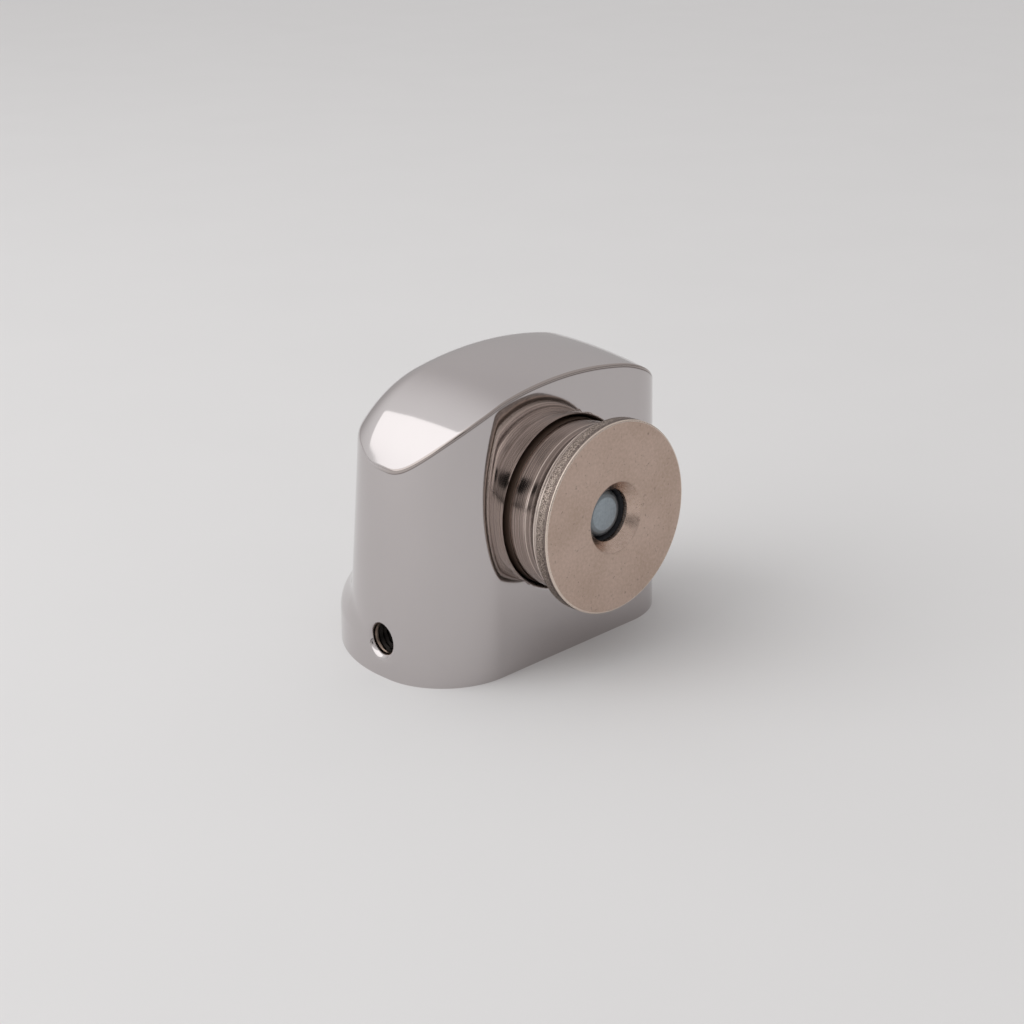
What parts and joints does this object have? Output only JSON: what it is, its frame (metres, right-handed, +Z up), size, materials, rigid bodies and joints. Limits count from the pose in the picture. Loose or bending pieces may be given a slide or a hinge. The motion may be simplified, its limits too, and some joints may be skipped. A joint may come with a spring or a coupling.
{
  "type": "magnetic door stop",
  "caption": "Floor-fixed magnetic door stop: a hooded casting holds a ring magnet on a rubber buffer, with its round countersunk door keeper resting on the magnet.",
  "frame": {"origin": "on the floor, on the axis of the floor stud and of its screw hole", "axes": "+X to the right seen from the front, +Y from the flat front to the rear, +Z up from the floor"},
  "size_m": [0.0506, 0.0469, 0.0437],
  "materials": {
    "polished_casting": "bright chrome plate on a polished zinc casting",
    "plated_steel": "nickel plate over fine turning marks",
    "ferrite": "ground ceramic magnet, dark grey",
    "zinc_plated_steel": "clear zinc plate, slightly blue",
    "satin_nickel": "satin nickel plate, warm grey",
    "black_rubber": "plain moulded rubber",
    "dark_steel": "blackened steel"
  },
  "bodies": {
    "root": {"housing": "polished_casting", "magnet_holder": "plated_steel", "ring_magnet": "ferrite", "centre_pin": "zinc_plated_steel", "keeper_plate": "satin_nickel", "rubber_buffer": "black_rubber", "pin_washer": "zinc_plated_steel", "pin_nut": "zinc_plated_steel", "floor_stud": "zinc_plated_steel", "grub_screw": "dark_steel"}
  },
  "joints": []
}
